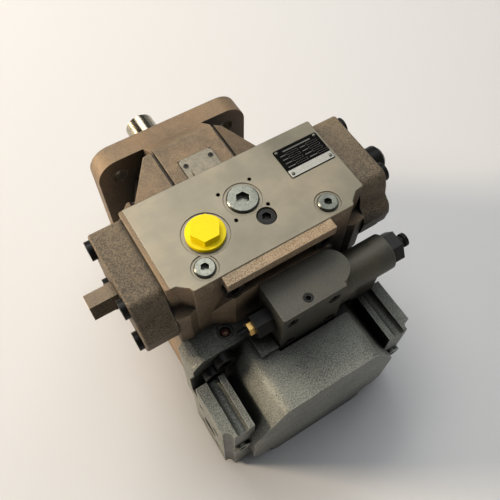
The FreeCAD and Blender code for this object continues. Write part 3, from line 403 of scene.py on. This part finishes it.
def thin_sheets(name, areas, base, thick, material):
    """Flat patches (x0, x1, y0, y1) with small round corners, standing a little above a face."""
    mesh = bmesh.new()
    for x0, x1, y0, y1 in areas:
        round_off = min(0.5, (x1 - x0) / 3, (y1 - y0) / 3)
        outline = []
        for corner_x, corner_y, start in ((x1, y1, 0), (x0, y1, 90), (x0, y0, 180), (x1, y0, 270)):
            centre_x = corner_x - math.copysign(round_off, corner_x - (x0 + x1) / 2)
            centre_y = corner_y - math.copysign(round_off, corner_y - (y0 + y1) / 2)
            for turn in (0, 30, 60, 90):
                angle = math.radians(start + turn)
                outline.append((centre_x + round_off * math.cos(angle),
                                centre_y + round_off * math.sin(angle)))
        bottom = [mesh.verts.new((x, y, base)) for x, y in outline]
        top = [mesh.verts.new((x, y, base + thick)) for x, y in outline]
        mesh.faces.new(list(reversed(bottom)))
        mesh.faces.new(top)
        for step in range(len(outline)):
            after = (step + 1) % len(outline)
            mesh.faces.new((bottom[step], bottom[after], top[after], top[step]))
    return piece_from(name, mesh, material)


PLATE_TOP = BLOCK_TOP + 0.8
PLATE_LEFT, PLATE_RIGHT, PLATE_NEAR, PLATE_FAR = 42.7, 83.7, -148, -119
PRINT_BASE = PLATE_TOP - 0.02
BAND_MARGIN, BAND_DEEP = 0.3, 7.2
thin_sheets("name_plate_band", [(PLATE_LEFT + BAND_MARGIN, PLATE_RIGHT - BAND_MARGIN,
                                 PLATE_NEAR + BAND_MARGIN, PLATE_NEAR + BAND_DEEP)],
            PRINT_BASE, 0.07, "label_band")

# A generic data table: a plain title bar, then rows of two outlined blank boxes with a short bar
# to the left of each. A row is (length of the short bar, width of the box less its margins).
TITLE_INDENT, TITLE_LONG, TITLE_DEEP = 7.5, 26, 1.2
ROW_INDENT, FIRST_ROW, ROW_STEP = 3, PLATE_FAR - 4.2, 3.9
BAR_LOW, BAR_HIGH = 0.5, 1.3
BOX_DEEP, BOX_LINE = 2.17, 0.22
title_left = PLATE_LEFT + TITLE_INDENT
bars = [(title_left, title_left + TITLE_LONG, FIRST_ROW, FIRST_ROW + TITLE_DEEP)]
for row, (label, cell) in enumerate(((5, 9), (5, 9), (6, 8), (7, 9)), start=1):
    near = FIRST_ROW - ROW_STEP * row
    far = near + BOX_DEEP
    left = PLATE_LEFT + ROW_INDENT
    for _ in range(2):
        bars.append((left, left + label, near + BAR_LOW, near + BAR_HIGH))
        start = left + label + 1
        stop = start + cell + 1.5
        bars += [(start, stop, near, near + BOX_LINE), (start, stop, far - BOX_LINE, far),
                 (start, start + BOX_LINE, near, far), (stop - BOX_LINE, stop, near, far)]
        left = stop + 2
thin_sheets("name_plate_table", bars, PRINT_BASE, 0.05, "label_print")

RIVET = [(1.55, -0.1), (1.55, 0.15), (1.35, 0.55), (0.9, 0.85), (0.35, 0.98), (0.02, 1.0)]
FAR_INSET, NEAR_INSET, NEAR_LIFT = 2.4, 2.9, 3.2
for number, place in enumerate(((PLATE_LEFT + FAR_INSET, PLATE_FAR - FAR_INSET),
                                (PLATE_RIGHT - FAR_INSET, PLATE_FAR - FAR_INSET),
                                (PLATE_LEFT + NEAR_INSET, PLATE_NEAR + NEAR_LIFT),
                                (PLATE_RIGHT - NEAR_INSET, PLATE_NEAR + NEAR_LIFT))):
    turned_piece(f"name_plate_rivet_{number + 1}", RIVET, (*place, PLATE_TOP), "zinc_steel", 24)

INDICATOR_TOP = NECK_TOP + 1.0
INDICATOR_Y, INDICATOR_SCREW_X = -71, 12
SCREW = [(1.9, -1.2), (1.9, 0.0), (2.35, 0.25), (2.3, 0.42), (1.2, 0.5), (1.1, 0.5), (0.95, -0.4)]
for side in (-1, 1):
    turned_piece(f"indicator_screw_{'left' if side < 0 else 'right'}", SCREW,
                 (side * INDICATOR_SCREW_X, INDICATOR_Y, INDICATOR_TOP),
                 "black_steel", 36, sides=6, smooth=False)

# A pressed-in ball closes each of two small drillings on top of the port plate.
BEAD = [(4.4, -6.0), (4.4, -3.2), (4.1, -2.0), (3.3, -1.0), (2.0, -0.3), (0.8, 0.0), (0.02, 0.05)]
BEAD_X, BEAD_Y, BEAD_SUNK = 52, -202, 2.2
for side in (-1, 1):
    turned_piece(f"port_plate_bead_{'left' if side < 0 else 'right'}", BEAD,
                 (side * BEAD_X, BEAD_Y, PORT_PLATE_TOP - BEAD_SUNK), "rust_steel", 32)


# ---------------------------------------------------------------- stage, light and camera

FLOOR_WIDE = 12
bpy.ops.mesh.primitive_plane_add(size=FLOOR_WIDE, location=(0, 0, cad_box[0][2]))
floor = bpy.context.object
floor.name = "floor"
floor.data.materials.append(Shader("floor_paper").finish((0.64, 0.64, 0.65), 0.9, 0.0))

bpy.context.scene.view_settings.view_transform = "Standard"
# The studio's walls are pale near the horizon and dim overhead.
world = bpy.data.worlds.new("studio")
bpy.context.scene.world = world
world.use_nodes = True
walls = world.node_tree.nodes.new("ShaderNodeValToRGB")
split = world.node_tree.nodes.new("ShaderNodeSeparateXYZ")
around = world.node_tree.nodes.new("ShaderNodeTexCoord")
world.node_tree.links.new(around.outputs["Generated"], split.inputs[0])
world.node_tree.links.new(split.outputs["Z"], walls.inputs["Fac"])
pale, dim = walls.color_ramp.elements
pale.position, pale.color = 0.28, (0.42, 0.42, 0.42, 1)
dim.position, dim.color = 0.45, (0.028, 0.029, 0.03, 1)
backdrop = world.node_tree.nodes["Background"]
world.node_tree.links.new(walls.outputs["Color"], backdrop.inputs["Color"])
backdrop.inputs["Strength"].default_value = 1.0


def soft_light(name, at, towards, size, power, color):
    """A rectangular lamp, with its place and size in metres and its power in watts."""
    lamp = bpy.data.lights.new(name, "AREA")
    lamp.shape = "RECTANGLE"
    lamp.size, lamp.size_y = size
    lamp.energy = power
    lamp.color = color
    holder = bpy.data.objects.new(name, lamp)
    bpy.context.scene.collection.objects.link(holder)
    holder.location = at
    holder.rotation_euler = (towards - Vector(at)).to_track_quat("-Z", "Y").to_euler()


middle = Vector((0, -0.12, 0.05))
soft_light("key", (-2.3, 1.4, 0.95), middle, (0.6, 0.6), 105, (1.0, 0.83, 0.62))
soft_light("top", (0.05, 1.05, 1.9), middle, (1.2, 1.0), 22, (1.0, 0.95, 0.87))
soft_light("ceiling", (0.5, 0.5, 2.6), middle, (2.8, 2.8), 48, (0.96, 0.99, 1.0))

camera_data = bpy.data.cameras.new("camera")
camera_data.lens = 42.05
camera_data.sensor_width = 36
camera = bpy.data.objects.new("camera", camera_data)
bpy.context.scene.collection.objects.link(camera)
camera.location = (-0.1305, -0.3551, 0.4996)
camera.rotation_euler = (math.radians(29.005), math.radians(-0.783), math.radians(-31.828))
bpy.context.scene.camera = camera
